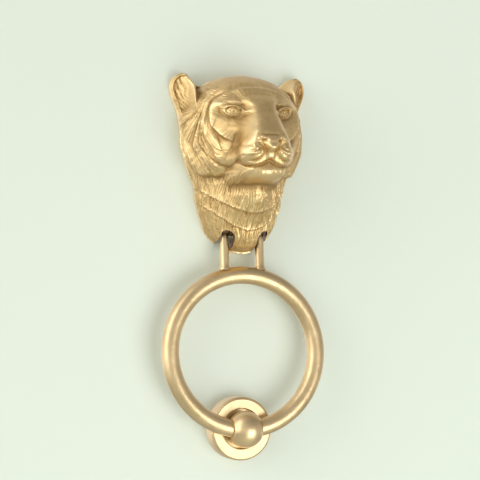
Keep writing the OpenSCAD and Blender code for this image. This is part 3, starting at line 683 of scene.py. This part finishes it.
cut(plate, lathe("sink", [(FLOOR_T - sink, SCREW_R + SNUG), (FLOOR_T, sink_r), (FLOOR_T + 1, sink_r)]))
OUT_OF_DOOR, INTO_DOOR = Matrix.Rotation(math.pi / 2, 4, "X"), Matrix.Rotation(-math.pi / 2, 4, "X")
plate_place = Matrix.Translation((0, 0, PLATE_Z)) @ OUT_OF_DOOR
finish_piece(plate, "plate", "fixed", "strike_plate", place=plate_place)


def threaded(name, stretches, pitch, n=32):
    """A turned piece from stretches of start, end, radius at each, and depth of thread."""
    rows = []
    for z0, z1, r0, r1, depth in stretches:
        count = round(8 * (z1 - z0) / pitch) if depth else 1
        for t in np.linspace(0, 1, count + 1):
            z = z0 + t * (z1 - z0)
            run_out = min(1, t * (z1 - z0) / pitch, (1 - t) * (z1 - z0) / pitch)
            row = []
            for a in np.linspace(0, 2 * math.pi, n, False):
                wave = abs(2 * ((z / pitch - a / (2 * math.pi)) % 1) - 1)
                r = r0 + t * (r1 - r0) - depth * run_out * wave
                row.append((r * math.cos(a), r * math.sin(a), z))
            if not rows or math.dist(row[0], rows[-1][0]) > 1e-6:
                rows.append(row)
    obj = loft(name, rows)
    outside_out(obj)
    return obj


# Start, end, radius at each, and depth of thread. The door's face is at 0
STUD_PITCH, SCREW_PITCH, SHARP_THREAD = 1.0, 0.8, 30
STUD = [(HOLE_END, 0, 2.675, 2.675, 0.24), (0, 30, 3.0, 3.0, 0), (30, 54, 2.95, 2.95, 0.55),
        (54, 55, 2.4, 1.7, 0)]
for name, z in (("upper", STUD_Z), ("lower", -STUD_Z)):
    stud = threaded("stud", STUD, STUD_PITCH)
    stud_place = Matrix.Translation((0, 0, z)) @ INTO_DOOR
    finish_piece(stud, "stud_" + name, "fixed", "fixing_stud_" + name, SHARP_THREAD, stud_place)
SCREW_END = FLOOR_T + 50
SCREW = [(0, sink, SCREW_HEAD_R, SCREW_R, 0), (sink, FLOOR_T, SCREW_R, SCREW_R, 0),
         (FLOOR_T, SCREW_END - 0.5, 2.45, 2.45, 0.45), (SCREW_END - 0.5, SCREW_END, 2.2, 1.7, 0)]
DRIVER_W, DRIVER_DEPTH = 1.52, 1.52
screw = threaded("screw", SCREW, SCREW_PITCH, 48)
cut(screw, block((-10, -DRIVER_W / 2, -1), (10, DRIVER_W / 2, DRIVER_DEPTH)))
screw_place = Matrix.Translation((0, -FLOOR_T, PLATE_Z)) @ INTO_DOOR
finish_piece(screw, "plate_screw", "fixed", "strike_plate_screw", SHARP_THREAD, screw_place)

# Materials


def nodes_of(name):
    made = bpy.data.materials.new(name)
    made.use_nodes = True
    tree = made.node_tree
    return made, tree, tree.nodes["Principled BSDF"]


def add(tree, kind, **settings):
    """A new shader node, with its properties and inputs set by name."""
    node = tree.nodes.new(kind)
    for key, value in settings.items():
        if key in node.bl_rna.properties:
            setattr(node, key, value)
        else:
            node.inputs[key].default_value = value
    return node


def ramp(tree, source, stops):
    """A colour that follows a value from stop to stop."""
    node = tree.nodes.new("ShaderNodeValToRGB")
    bands = node.color_ramp.elements
    while len(bands) < len(stops):
        bands.new(0.5)
    for band, (place, colour) in zip(bands, stops):
        band.position = place
        band.color = (*colour, 1)
    tree.links.new(source, node.inputs["Fac"])
    return node.outputs["Color"]


def mixed(tree, factor, colour, over):
    """A colour mixed with a plain one over it. The node's colours are its inputs 6 and 7 and output 2."""
    node = add(tree, "ShaderNodeMix", data_type="RGBA")
    tree.links.new(factor, node.inputs["Factor"])
    tree.links.new(colour, node.inputs[6])
    node.inputs[7].default_value = (*over, 1)
    return node.outputs[2]


def ranged(tree, source, low, high, to_low, to_high):
    """A value moved from one range to another, and held within it."""
    limits = {"From Min": low, "From Max": high, "To Min": to_low, "To Max": to_high}
    node = add(tree, "ShaderNodeMapRange", **limits)
    tree.links.new(source, node.inputs["Value"])
    return node.outputs["Result"]


def sums(tree, *sources):
    total = sources[0]
    for source in sources[1:]:
        node = add(tree, "ShaderNodeMath", operation="ADD")
        tree.links.new(total, node.inputs[0])
        tree.links.new(source, node.inputs[1])
        total = node.outputs[0]
    return total


def noise_of(tree, scale, detail):
    place = tree.nodes.new("ShaderNodeTexCoord")
    texture = add(tree, "ShaderNodeTexNoise", Scale=scale, Detail=detail)
    tree.links.new(place.outputs["Object"], texture.inputs["Vector"])
    return texture.outputs["Fac"]


def bumped(tree, shader, height, distance):
    node = add(tree, "ShaderNodeBump", Strength=1.0, Distance=distance)
    tree.links.new(height, node.inputs["Height"])
    tree.links.new(node.outputs["Normal"], shader.inputs["Normal"])


# Patina for the hollows, rubbed wear for high points, and a near-black painted shade for insides and slots
PATINA, RUBBED, PAINTED_SHADE = (0.29, 0.17, 0.06), (0.93, 0.72, 0.4), (0.1, 0.055, 0.024)
GRAIN_DEPTH, STEEL_GRAIN_DEPTH = 0.00006, 0.00003


def brass(name, light, deep, rough, spread, grain, recess=False, shade_band=None):
    """Mottled brass, with patina in recesses and painted shade inside, or painted shade rising between two
    heights.
    """
    made, tree, shader = nodes_of(name)
    shader.inputs["Metallic"].default_value = 1
    mottle = noise_of(tree, 85, 5.0)
    colour = ramp(tree, mottle, [(0.32, deep), (0.66, light)])
    shine = ranged(tree, noise_of(tree, 210, 4.0), 0.3, 0.7, rough - spread, rough + spread)
    if recess:
        depth = add(tree, "ShaderNodeAttribute", attribute_name="recess").outputs["Fac"]
        dark = ranged(tree, depth, 0.03, 0.42, 0, 0.6)
        colour = mixed(tree, dark, colour, PATINA)
        worn = ranged(tree, depth, -0.05, -0.5, 0, 0.55)
        colour = mixed(tree, worn, colour, RUBBED)
        # The inside faces are painted near-black: painted shade of the hollow and the slots
        inside = add(tree, "ShaderNodeAttribute", attribute_name="inside").outputs["Fac"]
        colour = mixed(tree, ranged(tree, inside, 0.05, 0.6, 0, 0.95), colour, PAINTED_SHADE)
        shine = sums(tree, shine, ranged(tree, depth, -0.4, 0.6, -0.08, 0.16))
    # Painted shade, darker towards the top between the two heights
    if shade_band:
        place = tree.nodes.new("ShaderNodeTexCoord")
        height = tree.nodes.new("ShaderNodeSeparateXYZ")
        tree.links.new(place.outputs["Object"], height.inputs["Vector"])
        colour = mixed(tree, ranged(tree, height.outputs["Z"], *shade_band, 0, 0.92), colour, PAINTED_SHADE)
    tree.links.new(colour, shader.inputs["Base Color"])
    tree.links.new(shine, shader.inputs["Roughness"])
    bumped(tree, shader, noise_of(tree, grain, 4.0), GRAIN_DEPTH)
    return made


cast_brass = brass("cast_brass", (0.73, 0.53, 0.255), (0.62, 0.435, 0.19), 0.44, 0.05, 900, recess=True)
BAR_LOOK = ((0.73, 0.56, 0.32), (0.63, 0.475, 0.26), 0.36, 0.05, 700)
bar_brass = brass("bar_brass", *BAR_LOOK)
# The rods' tops are painted dark where they rise into the slots: painted shade of the slots
rod_brass = brass("rod_brass", *BAR_LOOK, shade_band=(-0.0515, -0.0485))
# The yoke is raw brass, painted darker still as shade where it shows through the slots
raw_brass = brass("raw_brass", (0.4, 0.29, 0.14), (0.3, 0.21, 0.1), 0.5, 0.06, 700)
turned_brass = brass("turned_brass", (0.79, 0.605, 0.345), (0.69, 0.52, 0.285), 0.34, 0.05, 900)


def steel(name, tone, rough):
    made, tree, shader = nodes_of(name)
    shader.inputs["Metallic"].default_value = 1
    dark = tuple(0.72 * c for c in tone)
    colour = ramp(tree, noise_of(tree, 260, 4.0), [(0.35, dark), (0.62, tone)])
    shine = ranged(tree, noise_of(tree, 400, 3.0), 0.3, 0.7, rough - 0.06, rough + 0.08)
    tree.links.new(colour, shader.inputs["Base Color"])
    tree.links.new(shine, shader.inputs["Roughness"])
    bumped(tree, shader, noise_of(tree, 1500, 3.0), STEEL_GRAIN_DEPTH)
    return made


plated_steel = steel("plated_steel", (0.6, 0.59, 0.56), 0.3)
# Finish of each brass piece. All others are steel
FINISH = {"head_relief": cast_brass, "pivot_yoke": raw_brass, "ring": bar_brass, "rod_left": rod_brass,
          "rod_right": rod_brass, "ball": turned_brass, "plate": turned_brass}
for obj in scene.objects:
    if obj.type == "MESH":
        obj.data.materials.clear()
        obj.data.materials.append(FINISH.get(obj.name, plated_steel))

# Stage: a pale floor, and a pale wall in the door's plane. The wall is seen through from behind, stops no
# light and shows in no reflection, so that the back of the part is lit


def stage_plane(name, corners, colour, one_sided=False):
    """A painted plane that isn't part of the object."""
    obj = mesh_object(name, corners, [[0, 1, 2, 3]], smooth=False)
    made, tree, shader = nodes_of(name)
    shader.inputs["Roughness"].default_value = 0.6
    shader.inputs["Specular IOR Level"].default_value = 0.2
    tone = tuple(0.97 * c for c in colour)
    paint = ramp(tree, noise_of(tree, 3, 2.0), [(0.3, tone), (0.7, colour)])
    tree.links.new(paint, shader.inputs["Base Color"])
    if one_sided:
        clear = tree.nodes.new("ShaderNodeBsdfTransparent")
        mix = tree.nodes.new("ShaderNodeMixShader")
        tree.links.new(tree.nodes.new("ShaderNodeNewGeometry").outputs["Backfacing"], mix.inputs["Fac"])
        tree.links.new(shader.outputs["BSDF"], mix.inputs[1])
        tree.links.new(clear.outputs["BSDF"], mix.inputs[2])
        tree.links.new(mix.outputs["Shader"], tree.nodes["Material Output"].inputs["Surface"])
    obj.data.materials.append(made)
    obj.visible_shadow = obj.visible_glossy = not one_sided


WALL_Y, FLOOR_Z, SPREAD = 0.0004, -1.2, 3.0
WALL_TONE, FLOOR_TONE = (0.76, 0.83, 0.73), (0.74, 0.76, 0.72)
SQUARE = ((-SPREAD, -SPREAD), (SPREAD, -SPREAD), (SPREAD, SPREAD), (-SPREAD, SPREAD))
stage_plane("wall", [(x, WALL_Y, max(z, FLOOR_Z)) for x, z in SQUARE], WALL_TONE, True)
stage_plane("floor", [(x, y, FLOOR_Z) for x, y in SQUARE], FLOOR_TONE)

# Light: a pale room that is brighter below, behind and towards a window on the left, and three soft lamps
room = bpy.data.worlds.new("room")
scene.world = room
room.use_nodes = True
tree = room.node_tree
axis = tree.nodes.new("ShaderNodeSeparateXYZ")
tree.links.new(tree.nodes.new("ShaderNodeTexCoord").outputs["Generated"], axis.inputs["Vector"])
level = sums(tree, ranged(tree, axis.outputs["Z"], -0.7, 0.8, 0.8, 0.34),
             ranged(tree, axis.outputs["X"], -0.9, 0.4, 0.38, 0.0),
             ranged(tree, axis.outputs["Y"], 0.0, 0.4, 0.0, 0.3))
tree.nodes["Background"].inputs["Color"].default_value = (1.0, 0.985, 0.95, 1)
tree.links.new(level, tree.nodes["Background"].inputs["Strength"])
LAMP_AIM = Vector((0, 0, -0.06))


def lamp(name, place, size, power):
    """A soft lamp that points at the middle of the knocker."""
    light = bpy.data.lights.new(name, "AREA")
    light.size = size
    light.energy = power
    obj = bpy.data.objects.new(name, light)
    obj.location = place
    obj.rotation_euler = (LAMP_AIM - Vector(place)).to_track_quat("-Z", "Y").to_euler()
    scene.collection.objects.link(obj)


lamp("window", (-1.45, -0.45, 0.3), 1.3, 8)
lamp("fill", (0.5, -1.3, -0.7), 1.1, 11)
lamp("top", (-1.1, -0.5, 1.2), 0.8, 2.6)

# Camera: level, 20 degrees to the left of the object
IMAGE, SENSOR = 480, 36
FOCAL, DISTANCE, AZIMUTH = 1700.0, 1.020, math.radians(20)
CENTRE_X, HORIZON, EYE_LEVEL = 236, 313, -0.095
view = bpy.data.cameras.new("camera")
view.sensor_width = SENSOR
view.lens = SENSOR * FOCAL / IMAGE
view.shift_y = (HORIZON - IMAGE / 2) / IMAGE
camera = bpy.data.objects.new("camera", view)
ahead = Vector((math.sin(AZIMUTH), math.cos(AZIMUTH), 0))
aside = Vector((math.cos(AZIMUTH), -math.sin(AZIMUTH), 0))
offset = (IMAGE / 2 - CENTRE_X) / FOCAL * DISTANCE
camera.location = Vector((0, 0, EYE_LEVEL)) - ahead * DISTANCE + aside * offset
camera.rotation_euler = (math.pi / 2, 0, -AZIMUTH)
scene.collection.objects.link(camera)
scene.camera = camera
scene.view_settings.view_transform = "Standard"
